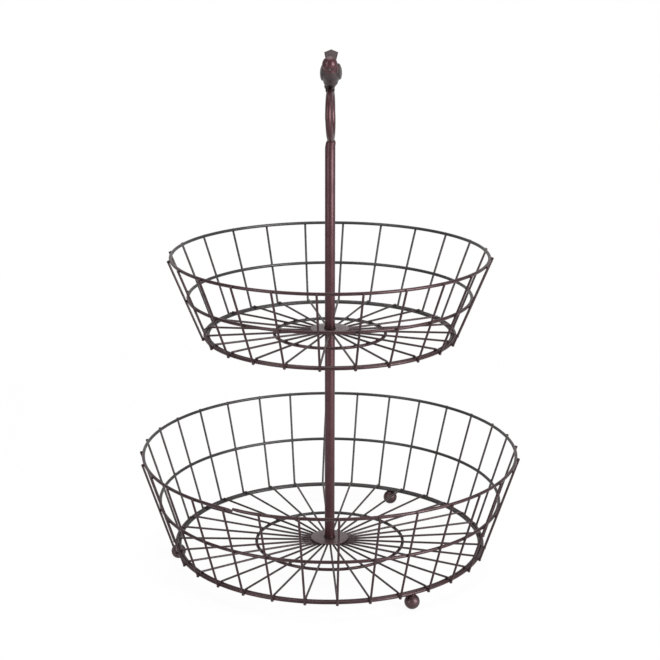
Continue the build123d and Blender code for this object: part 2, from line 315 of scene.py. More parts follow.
def tube_shape(centres, across, upright, radii, sides, closed=False):
    """A round tube: each row is centre + radius * (cos v * across + sin v * upright), with v once round it."""
    v = once_round(sides)
    ring = np.cos(v)[None, :, None] * across[:, None, :] + np.sin(v)[None, :, None] * upright[:, None, :]
    return grid_shape(centres[:, None, :] + radii[:, None, None] * ring, closed)


def lathe_shape(outline, segments):
    """A closed outline of (reach, height) turned once about the Z axis."""
    outline = np.asarray(outline, float)
    return grid_shape(around(outline[:, 0], once_round(segments)[:, None], outline[:, 1]), closed=True)


def rounded_box_outline(inner, outer, low, high, edge):
    """The outline of a ring of rectangular section whose four corners are quarter circles of radius edge."""
    corners = [(outer - edge, low + edge, -np.pi / 2), (outer - edge, high - edge, 0.0),
               (inner + edge, high - edge, np.pi / 2), (inner + edge, low + edge, np.pi)]
    rounds = []
    for reach, height, start in corners:
        a = start + np.linspace(0, np.pi / 2, 5)
        rounds.append(np.stack([reach + edge * np.cos(a), height + edge * np.sin(a)], 1))
    return np.concatenate(rounds)


def egg_shape(centre, axes, radii, rows=36, columns=48):
    """An egg: centre + the sum of axes * radii * (cos p, sin p * cos q, sin p * sin q)."""
    p = np.linspace(0, np.pi, rows + 2)[1:-1][:, None]
    q = once_round(columns)
    local = np.stack([
        np.broadcast_to(np.cos(p), (rows, columns)) * radii[0],
        np.sin(p) * np.cos(q) * radii[1],
        np.sin(p) * np.sin(q) * radii[2],
    ], -1)
    points = centre + local.reshape(-1, 3) @ axes
    return grid_shape(points.reshape(local.shape))


def recalculate_outside(mesh):
    """Turns every face of closed shells outwards."""
    work = bmesh.new()
    work.from_mesh(mesh)
    bmesh.ops.recalc_face_normals(work, faces=work.faces)
    work.to_mesh(mesh)
    work.free()
    mesh.update()


def add_piece(name, shape, material, body, replaced=(), sharp=np.radians(38)):
    """Makes a piece of a shape: smooth but for sharp creases, with its finish, body, slot and replaced parts."""
    points, faces = shape
    mesh = bpy.data.meshes.new(name)
    mesh.from_pydata(np.asarray(points, float).tolist(), [], faces)
    mesh.validate()
    mesh.polygons.foreach_set("use_smooth", np.ones(len(mesh.polygons), bool))
    mesh.set_sharp_from_angle(angle=sharp)
    mesh.materials.append(material)
    piece = bpy.data.objects.new(name, mesh)
    bpy.context.scene.collection.objects.link(piece)
    recalculate_outside(mesh)
    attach(piece, body)
    if replaced:
        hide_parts(*replaced)


# Reading the packed parts


def mesh_points(mesh):
    """The corner points of a mesh, as an array."""
    flat = np.zeros(len(mesh.vertices) * 3)
    mesh.vertices.foreach_get("co", flat)
    return flat.reshape(-1, 3)


def node_points(node):
    """The corner points of a packed part."""
    return mesh_points(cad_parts[node].data)


def hoop_line(node, wire):
    """Radius and height of a hoop's centre line: its outermost reach less half its wire, and its middle height."""
    points = node_points(node)
    low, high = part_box(node)
    return np.hypot(points[:, 0], points[:, 1]).max() - wire / 2, (low.z + high.z) / 2


def tiers():
    """Each tier's name, its body, and the number of its side wires, which is that of its spokes too."""
    wires = bpy.context.scene.basket_wires
    return ("lower", LOWER_BODY, wires.lower_count), ("upper", UPPER_BODY, wires.upper_count)


def wire_ring(tier, part, count):
    """(reach, height) of both ends of a tier's straight wires, and the wires' angles.

    An end is the mean of the corner points there. The angles are evenly spaced, with the small scatter of hand
    loading, and start at the wire nearest to the X axis, from the mean of count times every point's angle.
    """
    spread = bpy.context.scene.basket_wires.hand_spread
    x, y, z = node_points(f"{tier}_{part}").T
    reach = np.hypot(x, y)
    run = z if part == "side_wires" else reach
    near = run < (run.min() + run.max()) / 2
    low, high = (np.array((reach[end].mean(), z[end].mean())) for end in (near, ~near))
    first = np.angle(np.exp(1j * (np.arctan2(y, x) * count)).sum()) / count
    scatter = np.random.default_rng(len(tier) + count).normal(0, spread, count)
    return low, high, first + once_round(count) + np.clip(scatter, -2 * spread, 2 * spread)


def moved_on(place, other, distance):
    """A place moved towards another by a distance."""
    return place + (other - place) / np.hypot(*(other - place)) * distance


def rim_slant(tier, angles):
    """How far each side wire's top end stands on from its low end, as an angle.

    The rim is turned a little against the floor, by the tier's twist * exp(-(angle from the back / reach)^2),
    and every wire has its own small lean. On the lower tier the wire behind the pole leans a little more.
    """
    wires = bpy.context.scene.basket_wires
    from_back = np.angle(np.exp(1j * (angles - np.pi / 2)))
    slant = np.random.default_rng(len(angles)).normal(0, wires.hand_spread / 2, len(angles))
    slant -= getattr(wires, f"{tier}_twist") * np.exp(-(from_back / BACK_REACH) ** 2)
    if tier == "lower":
        slant[np.argmin(np.abs(from_back))] -= wires.hidden_lean
    return slant


# Materials


class Maths:
    """A number socket that takes part in plain arithmetic; each operation adds one Math node."""

    def __init__(self, finish, socket):
        self.finish, self.socket = finish, socket

    def _with(self, operation, *values):
        node = self.finish.node("ShaderNodeMath", {"operation": operation}, dict(enumerate(values)))
        return Maths(self.finish, node.outputs[0])

    def __add__(self, other):
        return self._with("ADD", self, other)

    def __mul__(self, other):
        return self._with("MULTIPLY", self, other)

    def __sub__(self, other):
        return self._with("SUBTRACT", self, other)

    def __rsub__(self, other):
        return self._with("SUBTRACT", other, self)

    def __abs__(self):
        return self._with("ABSOLUTE", self)

    __radd__, __rmul__ = __add__, __mul__


class Nodes:
    """A node tree that grows node by node."""

    def __init__(self, tree):
        self.tree = tree

    def node(self, kind, settings=None, values=None):
        """Adds a node, sets it up, then gives its sockets numbers, colours or links."""
        node = self.tree.nodes.new(kind)
        for key, value in (settings or {}).items():
            setattr(node, key, value)
        for key, value in (values or {}).items():
            self.feed(node.inputs[key], value)
        return node

    def feed(self, socket, value):
        """Links a socket to another node's output, or sets its own value."""
        if isinstance(value, Maths):
            value = value.socket
        if isinstance(value, bpy.types.NodeSocket):
            self.tree.links.new(value, socket)
        elif hasattr(value, "__len__") and len(value) == 3 and socket.type == "RGBA":
            socket.default_value = (*value, 1.0)
        else:
            socket.default_value = value


class Finish(Nodes):
    """One material, its shader and the object coordinates that its patterns follow."""

    def __init__(self, name):
        self.material = bpy.data.materials.new(name)
        self.material.use_nodes = True
        super().__init__(self.material.node_tree)
        self.shader = self.tree.nodes["Principled BSDF"]
        self.coordinates = self.node("ShaderNodeTexCoord")
        self.place = self.coordinates.outputs["Object"]

    def set_shader(self, **values):
        """Feeds the shader's sockets, named with _ for each space."""
        for name, value in values.items():
            self.feed(self.shader.inputs[name.replace("_", " ")], value)

    def noise(self, size, detail=2.0, stretch=None):
        """Noise from 0 to 1 whose features are about size across; stretch draws it out along X, Y or Z."""
        where = self.place
        if stretch:
            where = self.node("ShaderNodeMapping", {}, {"Vector": where, "Scale": stretch}).outputs[0]
        values = {"Vector": where, "Scale": 1 / size, "Detail": detail}
        return Maths(self, self.node("ShaderNodeTexNoise", {}, values).outputs["Fac"])

    def mask(self, value, low, high):
        """0 where a number is below low and 1 above high, with a smooth step between."""
        settings = {"interpolation_type": "SMOOTHSTEP"}
        values = {"Value": value, "From Min": low, "From Max": high}
        return Maths(self, self.node("ShaderNodeMapRange", settings, values).outputs["Result"])

    def blend(self, amount, first, second):
        """A colour between two colours."""
        node = self.node("ShaderNodeMix", {"data_type": "RGBA"}, {"Factor": amount, 6: first, 7: second})
        return node.outputs[2]

    def bump(self, height, distance):
        """A normal that follows a height map of the given depth."""
        return self.node("ShaderNodeBump", {}, {"Height": height, "Distance": distance}).outputs[0]

    def vector(self, operation, *values):
        """Vector maths, whose result is a vector."""
        return self.node("ShaderNodeVectorMath", {"operation": operation}, dict(enumerate(values))).outputs[0]

    def measure(self, operation, *values):
        """Vector maths, whose result is a number, such as a length or a dot product."""
        node = self.node("ShaderNodeVectorMath", {"operation": operation}, dict(enumerate(values)))
        return Maths(self, node.outputs["Value"])


def toned(colour, level, grey):
    """A colour made lighter by the factor level and moved by the share grey towards the grey of its own mean."""
    mean = sum(colour) / 3
    return tuple(level * (c + (mean - c) * grey) for c in colour)


def bronze_coat(part, retouch=None):
    """The dark reddish bronze powder coat as it lies on one kind of part, made once and then shared.

    It has a cloudy shade, fine metal flecks, uneven gloss and a light orange peel, and the tone of its part's
    setting. Retouch is a function that gets the finish and the maker of its colours, and returns the colour.
    """
    name = f"bronze_{part}_coat"
    if name in bpy.data.materials:
        return bpy.data.materials[name]
    colours = bpy.context.scene.basket_colours
    level, greying, varnish = getattr(colours, f"{part}_tone")
    finish = Finish(name)
    clouds = finish.mask(finish.noise(9 * MM, 3.0), 0.35, 0.7)
    powder = finish.mask(finish.noise(0.55 * MM), 0.42, 0.62)
    flecks = finish.mask(finish.noise(0.28 * MM, 1.0), 0.60, 0.72)

    def shade(level, grey):
        coat, dark, fleck = (toned(c, level, grey) for c in (colours.coat, colours.coat_dark, colours.coat_fleck))
        return finish.blend(flecks * 0.3, finish.blend(clouds * 0.3 + powder * 0.2, coat, dark), fleck)

    finish.set_shader(
        Base_Color=retouch(finish, shade) if retouch else shade(level, greying),
        Roughness=0.43 + clouds * 0.07 + powder * 0.05, Coat_Weight=varnish + clouds * -0.08,
        Metallic=0.75, Specular_IOR_Level=0.35, Coat_Roughness=0.25)
    peel = finish.noise(0.9 * MM) * 0.7 + powder * 0.3
    finish.set_shader(Normal=finish.bump(peel, 0.02 * MM))
    return finish.material


def wire_tones_with_painted_reflection(finish, shade):
    """The wires' colour, painted lighter and greyer on the faces that look inwards to the pole: a painted
    reflection of the light those faces mirror.
    """
    colours = bpy.context.scene.basket_colours
    outwards = finish.vector("NORMALIZE", finish.vector("MULTIPLY", finish.place, (1.0, 1.0, 0.0)))
    facing = finish.measure("DOT_PRODUCT", outwards, finish.coordinates.outputs["Normal"])
    # Painted reflection: faces that look inwards get the lighter, greyer colour.
    inward_painted_reflection = finish.mask(1 - facing, 0.9, 1.5)
    return finish.blend(inward_painted_reflection, shade(*colours.wire_tone[:2]), shade(*colours.inward_painted_reflection_tone[:2]))


def wire_coat():
    """The coat on thin wire: darker and a little greyer than on the poles, with a painted reflection on its inner
    faces.
    """
    return bronze_coat("wire", retouch=wire_tones_with_painted_reflection)


def plated_steel(name):
    """Zinc plated steel: pale metal with faint turning marks and uneven gloss."""
    bright = tuple(bpy.context.scene.basket_colours.plated)
    dull = tuple(c * 0.72 for c in bright)
    finish = Finish(name)
    stains = finish.mask(finish.noise(3 * MM, 3.0), 0.3, 0.75)
    marks = finish.noise(0.4 * MM, stretch=(1.0, 1.0, 6.0))
    finish.set_shader(
        Base_Color=finish.blend(stains * 0.6, bright, dull), Roughness=0.24 + stains * 0.14, Metallic=1.0,
        Normal=finish.bump(marks, 0.01 * MM))
    return finish.material


# Hoops


def hoop_shape(radius, height, wire, seed, joint=None):
    """A wire bent round: (radius + stray) * (cos u, sin u), with stray and height a few slow waves in u.

    With a joint, the hoop is open at that angle and its two ends miss each other in height.
    """
    wires = bpy.context.scene.basket_wires
    dice = np.random.default_rng(seed)
    steps, sides = 288, 16
    closed = joint is None
    gap = 0.0 if closed else wires.joint_gap / radius
    start = 0.0 if closed else joint + gap / 2
    span = TAU - gap
    u = start + span * np.arange(steps) / (steps if closed else steps - 1)
    waves = np.arange(2, 6)
    fade = wires.waviness / waves
    swing, phase, lift, tilt = (dice.uniform(0, 1, len(waves)) for _ in range(4))
    stray = (fade * swing * np.cos(waves * u[:, None] + TAU * phase)).sum(1)
    rise = (fade * lift * np.cos(waves * u[:, None] + TAU * tilt)).sum(1)
    radii = np.full(steps, wire / 2)
    if not closed:
        step = np.exp(-(u - start) * radius / JOINT_SWAY) - np.exp(-(start + span - u) * radius / JOINT_SWAY)
        rise = rise + step * wires.joint_step / 2
        run = np.minimum(u - start, start + span - u) * radius
        radii = radii - wires.end_round * np.clip(1 - run / wires.end_round, 0, 1) ** 2
    centres = around(radius + stray, u, height + rise)
    return tube_shape(centres, around(1.0, u, 0.0), np.broadcast_to(UP, (steps, 3)), radii, sides, closed)


class BASKET_OT_hoops(bpy.types.Operator):
    """Add the ten hoops of both tiers"""

    bl_idname = "basket.hoops"
    bl_label = "Hoops"

    def execute(self, context):
        wires = context.scene.basket_wires
        for tier, body, _ in tiers():
            for number, hoop in enumerate(HOOPS):
                node = f"{tier}_{hoop}"
                radius, height = hoop_line(node, wires.hoop_wire)
                joint = wires.joint_angle if node == "lower_rim_hoop" else None
                shape = hoop_shape(radius, height, wires.hoop_wire, 10 * len(node) + number, joint)
                add_piece(f"{node}_wire", shape, wire_coat(), body, [node])
        return {"FINISHED"}


# Side wires and spokes


def straight_wires(low, high, wire, angles, slant):
    """A ring of round wires, straight from (reach, height) low to high; slant shifts the far end's angle.

    A wire next to the X or Y axis is held back by a hair where it would leave the packed model's box.
    """
    end_round = bpy.context.scene.basket_wires.end_round
    room = cad_bounds[1][0] - wire / 2
    length = np.hypot(*(high - low))
    ends = np.array([0.0, 0.25, 0.6, 1.0]) * end_round
    stations = np.concatenate([ends, np.linspace(0.1, 0.9, 5) * length, length - ends[::-1]])
    inset = np.minimum(stations, length - stations).clip(0, end_round)
    radii = wire / 2 - end_round + np.sqrt((end_round ** 2 - (end_round - inset) ** 2).clip(0))
    t = stations / length
    shapes = []
    for angle, shift in zip(angles, slant):
        turn = angle + shift * t
        reach = low[0] + (high[0] - low[0]) * t
        reach = np.minimum(reach, room / np.maximum(np.abs(np.cos(turn)), np.abs(np.sin(turn))))
        centres = around(reach, turn, low[1] + (high[1] - low[1]) * t)
        along = centres[-1] - centres[0]
        along /= np.linalg.norm(along)
        outward = np.cross([-np.sin(angle), np.cos(angle), 0.0], along)
        outward /= np.linalg.norm(outward)
        sideways = -np.cross(along, outward)
        rings = (np.broadcast_to(way, centres.shape) for way in (outward, sideways))
        shapes.append(tube_shape(centres, *rings, radii, ROD_SIDES))
    return join_shapes(shapes)


class BASKET_OT_side_wires(bpy.types.Operator):
    """Add the side wires that lean against the outside of the hoops"""

    bl_idname = "basket.side_wires"
    bl_label = "Side wires"

    def execute(self, context):
        wires = context.scene.basket_wires
        knob = egg_shape(np.zeros(3), UPRIGHT_AXES, np.array([0.8, 1, 1]) * wires.end_knob / 2, 8, 14)
        for tier, body, count in tiers():
            low, high, angles = wire_ring(tier, "side_wires", count)
            low = moved_on(low, high, wires.side_trim)
            rods = straight_wires(low, high, wires.side_wire, angles, rim_slant(tier, angles))
            shape = join_shapes([rods, repeat_shape(knob, angles, around(low[0], angles, low[1]))])
            add_piece(f"{tier}_round_side_wires", shape, wire_coat(), body, [f"{tier}_side_wires"])
        return {"FINISHED"}


class BASKET_OT_floor_spokes(bpy.types.Operator):
    """Add the spokes of both floors"""

    bl_idname = "basket.floor_spokes"
    bl_label = "Floor spokes"

    def execute(self, context):
        wires = context.scene.basket_wires
        for tier, body, count in tiers():
            low, high, angles = wire_ring(tier, "floor_spokes", count)
            high = moved_on(high, low, wires.spoke_trim)
            shape = straight_wires(low, high, wires.spoke_wire, angles, np.zeros(count))
            # Painted reflection: the spokes get the lighter, greyer coat.
            add_piece(f"{tier}_round_floor_spokes", shape, bronze_coat("spoke"), body, [f"{tier}_floor_spokes"])
        return {"FINISHED"}


# Welds


def crossings(low, high, angles, slant, hoop, wire, over):
    """Where a ring of straight wires touches a hoop: points between their surfaces, at its reach or its height."""
    other_wire = bpy.context.scene.basket_wires.hoop_wire
    radius, height = hoop_line(hoop, other_wire)
    t = (radius - low[0]) / (high[0] - low[0]) if over else (height - low[1]) / (high[1] - low[1])
    reach = low[0] + (high[0] - low[0]) * t
    level = low[1] + (high[1] - low[1]) * t
    share = other_wire / (wire + other_wire)
    return around(radius + (reach - radius) * share, angles + slant * t, height + (level - height) * share)


class BASKET_OT_welds(bpy.types.Operator):
    """Add the small welds where the wires cross the hoops"""

    bl_idname = "basket.welds"
    bl_label = "Welds"

    def execute(self, context):
        wires = context.scene.basket_wires
        long, thick = wires.weld_reach, wires.weld_height
        for tier, body, count in tiers():
            shapes = []
            low, high, angles = wire_ring(tier, "side_wires", count)
            slant = rim_slant(tier, angles)
            lean = np.array([high[0] - low[0], 0, high[1] - low[1]])
            lean /= np.linalg.norm(lean)
            axes = np.array([[lean[2], 0, -lean[0]], [0, 1, 0], lean])
            bead = egg_shape(np.zeros(3), axes, (thick, long * 0.8, long), 7, 12)
            for hoop in SIDE_HOOPS:
                spots = crossings(low, high, angles, slant, f"{tier}_{hoop}", wires.side_wire, over=False)
                shapes.append(repeat_shape(bead, angles, spots))
            low, high, angles = wire_ring(tier, "floor_spokes", count)
            bead = egg_shape(np.zeros(3), np.eye(3)[[2, 1, 0]], (thick, long * 0.75, long), 7, 12)
            for hoop in FLOOR_HOOPS:
                spots = crossings(low, high, angles, 0, f"{tier}_{hoop}", wires.spoke_wire, over=True)
                shapes.append(repeat_shape(bead, angles, spots))
            add_piece(f"{tier}_wire_welds", join_shapes(shapes), wire_coat(), body)
        return {"FINISHED"}


# Plates, feet and poles


class BASKET_OT_hub_plates(bpy.types.Operator):
    """Add the round plates on which the spokes meet"""

    bl_idname = "basket.hub_plates"
    bl_label = "Hub plates"

    def execute(self, context):
        metal = context.scene.basket_metal
        for tier, body, _ in tiers():
            node = f"{tier}_hub_plate"
            low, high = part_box(node)
            outline = rounded_box_outline(metal.bolt_hole, high.x, low.z, high.z, metal.plate_edge)
            # Painted reflection: the plates get the lighter, greyer coat.
            add_piece(f"{tier}_coated_hub_plate", lathe_shape(outline, 96), bronze_coat("sheet"), body, [node])
        return {"FINISHED"}


class BASKET_OT_ball_feet(bpy.types.Operator):
    """Add the three ball feet, each with the collar of its weld"""

    bl_idname = "basket.ball_feet"
    bl_label = "Ball feet"

    def execute(self, context):
        metal = context.scene.basket_metal
        radius = metal.foot_ball / 2
        angles = self.foot_angles(metal.foot_reach, radius)
        ball = egg_shape(np.zeros(3), UPRIGHT_AXES, (radius, radius, radius), 40, 56)
        collar = egg_shape(radius * 0.97 * UP, UPRIGHT_AXES, (0.7 * MM, 2.6 * MM, 3.0 * MM), 9, 24)
        shape = repeat_shape(join_shapes([ball, collar]), angles, around(metal.foot_reach, angles, radius))
        add_piece("welded_ball_feet", shape, bronze_coat("ball"), LOWER_BODY, ["ball_feet"])
        return {"FINISHED"}

    @staticmethod
    def foot_angles(reach, radius):
        """The angle of each foot: the middle direction of the points that lie together, to a thousandth."""
        points = node_points("ball_feet")
        order = np.sort(np.arctan2(points[:, 1], points[:, 0]))
        breaks = np.nonzero(np.diff(order) > radius / reach)[0] + 1
        return np.unique(np.round([(part.min() + part.max()) / 2 for part in np.split(order, breaks)], 3))


def flared_washer(node, hole):
    """The outline of a pole washer: flat below, with a shoulder that runs up to the pole in a hollow curve."""
    low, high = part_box(node)
    neck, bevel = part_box("lower_pole_tube")[1].x + 0.1 * MM, 0.2 * MM
    a = np.linspace(0, np.pi / 2, 7)
    rise = (high.z - low.z) * 0.62
    shoulder = np.stack([neck + (high.x - neck) * (1 - np.sin(a)), high.z - rise * np.cos(a)], 1)
    foot = [(hole, low.z), (high.x - bevel, low.z), (high.x, low.z + bevel)]
    return np.concatenate([foot, shoulder, [(hole, high.z)]])


class BASKET_OT_poles(bpy.types.Operator):
    """Add the two pole tubes, their washers and the pole cap"""

    bl_idname = "basket.poles"
    bl_label = "Poles"

    def execute(self, context):
        metal = context.scene.basket_metal
        for name, tube_body, washer_body in (("lower", LOWER_BODY, LOWER_BODY), ("upper", POLE_BODY, WASHER_BODY)):
            tube, washer = f"{name}_pole_tube", f"{name}_pole_washer"
            low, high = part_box(tube)
            outline = rounded_box_outline(high.x - metal.tube_wall, high.x, low.z, high.z, metal.tube_edge)
            add_piece(f"{name}_coated_pole", lathe_shape(outline, 64), bronze_coat("powder"), tube_body, [tube])
            shape = lathe_shape(flared_washer(washer, metal.bolt_hole), 64)
            # Painted shade: the washers get the dark coat.
            add_piece(f"{name}_flared_washer", shape, bronze_coat("joint"), washer_body, [washer])
        self.add_cap(metal)
        return {"FINISHED"}

    def add_cap(self, metal):
        """The cap: sides that ease in towards the crown, a rounded rim and a crown that sinks to the loop's seat.

        It is pinched out of line, as on the real pole: its rings shift sideways as their height grows.
        """
        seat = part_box("upper_pole_tube")[1]
        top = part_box("pole_cap")[1].z
        wide, narrow, rim, middle = seat.x - SMALL_GAP, metal.cap_top / 2, 0.7 * MM, 0.02 * MM
        t = np.linspace(0, 1, 14)
        ease = t * t * (2 - t)
        side = np.stack([wide - (wide - narrow) * ease, seat.z + SMALL_GAP + (top - rim - seat.z) * t], 1)
        a = np.linspace(0, np.pi * 0.72, 9)[1:]
        crown = np.stack([narrow - rim + rim * np.cos(a), top - rim + rim * np.sin(a)], 1)
        centre = [(middle, crown[-1, 1] - 0.25 * MM), (middle, seat.z)]
        points, faces = lathe_shape(np.concatenate([[(wide - 0.3 * MM, seat.z)], side, crown, centre]), 64)
        share = np.clip((points[:, 2] - seat.z) / (top - seat.z), 0, 1)
        points[:, 0] += metal.foot_shift * share ** 1.5
        add_piece("tapered_pole_cap", (points, faces), bronze_coat("powder"), POLE_BODY, ["pole_cap"])


def stud_shape(low, high, radius, pitch, depth):
    """A threaded stud: reach = radius - depth * (1 - |saw|), where saw is a wave of height / pitch - u / turn."""
    steps, sides = int((high - low) / pitch * 10), 32
    z = np.linspace(low, high, steps)
    u = once_round(sides)
    saw = 2 * ((z[:, None] / pitch - u / TAU) % 1.0) - 1
    ends = np.clip(np.minimum(z - low, high - z) / (0.6 * MM), 0, 1)[:, None]
    reach = (radius - depth) + depth * np.abs(saw) * ends
    return grid_shape(around(reach, u, z[:, None]))


class BASKET_OT_fasteners(bpy.types.Operator):
    """Add the threaded stud and give the plated parts their finish"""

    bl_idname = "basket.fasteners"
    bl_label = "Fasteners"

    def execute(self, context):
        metal = context.scene.basket_metal
        plating = plated_steel("zinc_plating")
        low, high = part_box("joining_stud")
        shape = stud_shape(low.z, high.z, high.x, metal.thread_pitch, metal.thread_depth)
        add_piece("threaded_joining_stud", shape, plating, LOWER_BODY, ["joining_stud"])
        for node in PLATED_PARTS:
            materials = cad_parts[node].data.materials
            materials.clear()
            materials.append(plating)
        return {"FINISHED"}


# Loop handle


def loop_frame():
    """Centre, forward direction, side direction and centre-line radius of the loop, read from its part."""
    metal = bpy.context.scene.basket_metal
    low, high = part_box("loop_handle")
    sine, cosine = np.sin(metal.loop_turn), np.cos(metal.loop_turn)
    forward, side = np.array([sine, -cosine, 0.0]), np.array([cosine, sine, 0.0])
    return (low.z + high.z) / 2 * UP, forward, side, (high.z - low.z) / 2 - metal.loop_rod / 2


class BASKET_OT_loop_handle(bpy.types.Operator):
    """Add the loop handle and the welds at its foot"""

    bl_idname = "basket.loop_handle"
    bl_label = "Loop handle"

    def execute(self, context):
        metal = context.scene.basket_metal
        centre, forward, side, radius = loop_frame()
        steps = 160
        u = once_round(steps)
        outward = np.sin(u)[:, None] * forward + np.cos(u)[:, None] * UP
        centres = centre + radius * outward
        centres[:, 0] += metal.foot_shift * np.clip(-outward[:, 2], 0, 1) ** 0.75
        sideways, thickness = np.broadcast_to(side, (steps, 3)), np.full(steps, metal.loop_rod / 2)
        rod = tube_shape(centres, outward, sideways, thickness, 28, closed=True)
        foot = centre + np.array([metal.foot_shift, 0, 0.9 * MM - radius - metal.loop_rod / 2])
        bead = (1.25 * MM, 2.9 * MM, 1.35 * MM)
        axes = np.stack([UP, forward, side])
        beads = [egg_shape(foot + way * 2.1 * MM * side, axes, bead, 12, 32) for way in (-1, 1)]
        shape = join_shapes([rod, *beads])
        add_piece("round_loop_handle", shape, bronze_coat("powder"), POLE_BODY, ["loop_handle"])
        return {"FINISHED"}


# Bird: places are (forward, left, up) in millimetres from the top of the loop

WING_SHIFT = 0.45
BODY_MIDDLE = (0.6, WING_SHIFT, 10.8)
BODY_TILT = 26
HEAD_MIDDLE = (10.6, 0, 19.3)
# How far aside, from and to, the wings' painted reflection (a paler tone) begins, and the dark painted shade where
# each wing meets the breast begins and ends
PAINTED_WING_SHEEN_EDGE, PAINTED_SHADE_START, PAINTED_SHADE_END = (7.1 * MM, 7.6 * MM), (6.2 * MM, 6.8 * MM), (6.9 * MM, 7.4 * MM)
# Where each toe starts and ends, along the loop and round its rod, as angles
TOES = ((0.02, 0.42, 0.34, 0.62), (0.03, 0.34, 0.80, 1.30), (0.0, 0.16, 0.9, 1.9), (-0.02, -0.30, 0.5, 1.1))


class BirdFrame:
    """Turns (forward, left, up) in millimetres from the top of the loop into places of the model."""

    def __init__(self, turn, base):
        self.forward = np.array([np.sin(turn), -np.cos(turn), 0.0])
        self.left = np.array([np.cos(turn), np.sin(turn), 0.0])
        self.base = base

    def place(self, forward, left, up):
        """One point or an array of points."""
        f, l, u = (np.asarray(v, float)[..., None] * MM for v in (forward, left, up))
        return self.base + f * self.forward + l * self.left + u * UP

    def axes(self, tilt):
        """Three directions: along the bird, tilted up, then sideways and upright to that."""
        along = np.cos(tilt) * self.forward + np.sin(tilt) * UP
        sideways = np.cross(UP, along)
        sideways /= np.linalg.norm(sideways)
        return np.stack([along, sideways, np.cross(along, sideways)])


def bird_trunk(bird, sizes):
    """Body, breast, belly, thighs, rump, neck and head as overlapping eggs, before the skin joins them.

    Each has its middle, its tilt in degrees, and half its length, width and height.
    """
    half, head = sizes.body_width / 2 - 1.2 * MM, sizes.head / 2
    eggs = (
        (BODY_MIDDLE, BODY_TILT, (14.6 * MM, half, 9.2 * MM)),
        ((5.2, WING_SHIFT, 11.2), 66, (9.2 * MM, half * 0.93, 7.6 * MM)),
        ((1.6, 0.4, 5.2), 0, (8.0 * MM, 6.1 * MM, 5.6 * MM)),
        ((0.8, -2.9, 0.5), 0, (4.2 * MM, 2.0 * MM, 2.6 * MM)),
        ((0.8, 2.5, 0.7), 0, (4.2 * MM, 1.5 * MM, 2.3 * MM)),
        ((-7.4, 0, 10.2), -46, (6.4 * MM, 4.4 * MM, 3.6 * MM)),
        ((8.4, 0, 15.4), 60, (6.2 * MM, 6.0 * MM, 5.7 * MM)),
        (HEAD_MIDDLE, 0, (head, head, head)),
    )
    return join_shapes([egg_shape(bird.place(*middle), bird.axes(np.radians(tilt)), radii)
                        for middle, tilt, radii in eggs])


def signed_power(values, power):
    """Values raised to a power, each keeping its sign."""
    return np.sign(values) * np.abs(values) ** power


def bird_wing(bird, sizes, side):
    """A folded wing: a leaf-shaped pad on the body's side whose face steps where feathers lap.

    Its middle line falls from shoulder to tip. A point stands out by the body's own egg, half width *
    sqrt(1 - (a / length)^2 - (b / depth)^2) with a along the tilted body and b across it, and then by the pad's
    thickness * cos q. The steps are a saw wave: scallops across the shoulder, then long quills to the tip.
    The left wing sits a little higher and stands out more, as the casting does.
    """
    rows, columns = 72, 64
    s = np.linspace(0, 1, rows + 2)[1:-1][:, None]
    q = once_round(columns)
    leaf = np.sin(np.pi * s ** 0.68) ** 0.62
    across = np.sin(q) * np.ones_like(s)
    rise = 6.6 * leaf * across
    along = 9.8 - 23.0 * s + 0.12 * rise
    up = 13.9 - 5.2 * s + 0.5 * side + rise
    tilt = np.radians(BODY_TILT)
    ahead, above = along - BODY_MIDDLE[0], up - BODY_MIDDLE[2]
    a = ahead * np.cos(tilt) + above * np.sin(tilt)
    b = above * np.cos(tilt) - ahead * np.sin(tilt)
    body = (sizes.body_width / MM / 2 - 1.25) * np.sqrt(np.clip(1 - (a / 16.2) ** 2 - (b / 13.0) ** 2, 0, 1))
    shoulder = np.clip((0.46 - s) * 12, 0, 1)
    scallops = (s * 8.5 + 0.45 * across ** 2) % 1.0
    quills = (across * 2.4 + s * 1.4) % 1.0
    lap = (shoulder * scallops + (1 - shoulder) * quills) * (np.cos(q) > 0)
    pad = (1.25 + 0.2 * side) * leaf ** 0.5 * signed_power(np.cos(q), 0.6)
    out = body + pad + 0.5 * (lap - 0.5) * leaf
    return grid_shape(bird.place(along, side * out + WING_SHIFT, up))


def bird_tail(bird, sizes):
    """The raised tail: a flat fan that widens to a shallow gable, with five feathers that lap on both faces."""
    rows, columns = 48, 96
    v = np.linspace(0, 1, rows)[:, None]
    q = once_round(columns)
    u = signed_power(np.cos(q), 0.4) * np.ones_like(v)
    half = 2.2 + (sizes.tail_width / MM / 2 - 2.2) * v
    length = (sizes.tail_length / MM - 2.7 * np.abs(u)) * v
    lap = np.abs((u * 2.5 + 0.5) % 1.0 - 0.5) * np.clip(v * 3, 0, 1)
    thick = (0.82 - 0.36 * lap) * signed_power(np.sin(q), 0.5) * (1.15 - 0.25 * v)
    tilt = np.radians(48)
    back = 6.2 + length * np.cos(tilt) + thick * np.sin(tilt)
    up = 11.3 + length * np.sin(tilt) - thick * np.cos(tilt)
    return grid_shape(bird.place(-back, half * u, up), ends=strip_ends)


def bird_beak(bird):
    """A short blunt beak: a cone that droops by its own length's square, with a rounded end."""
    rows, columns = 18, 28
    t = np.linspace(0, 1, rows)[:, None]
    q = once_round(columns)
    width = (2.15 - 1.0 * t) * np.sqrt(1 - np.clip(t * 5 - 4, 0, 0.995) ** 2)
    forward = 13.6 + 5.2 * t + np.zeros_like(q)
    up = 17.1 - 1.1 * t - 0.7 * t ** 2 + 0.9 * width * np.sin(q)
    return grid_shape(bird.place(forward, width * np.cos(q), up), flip=True)


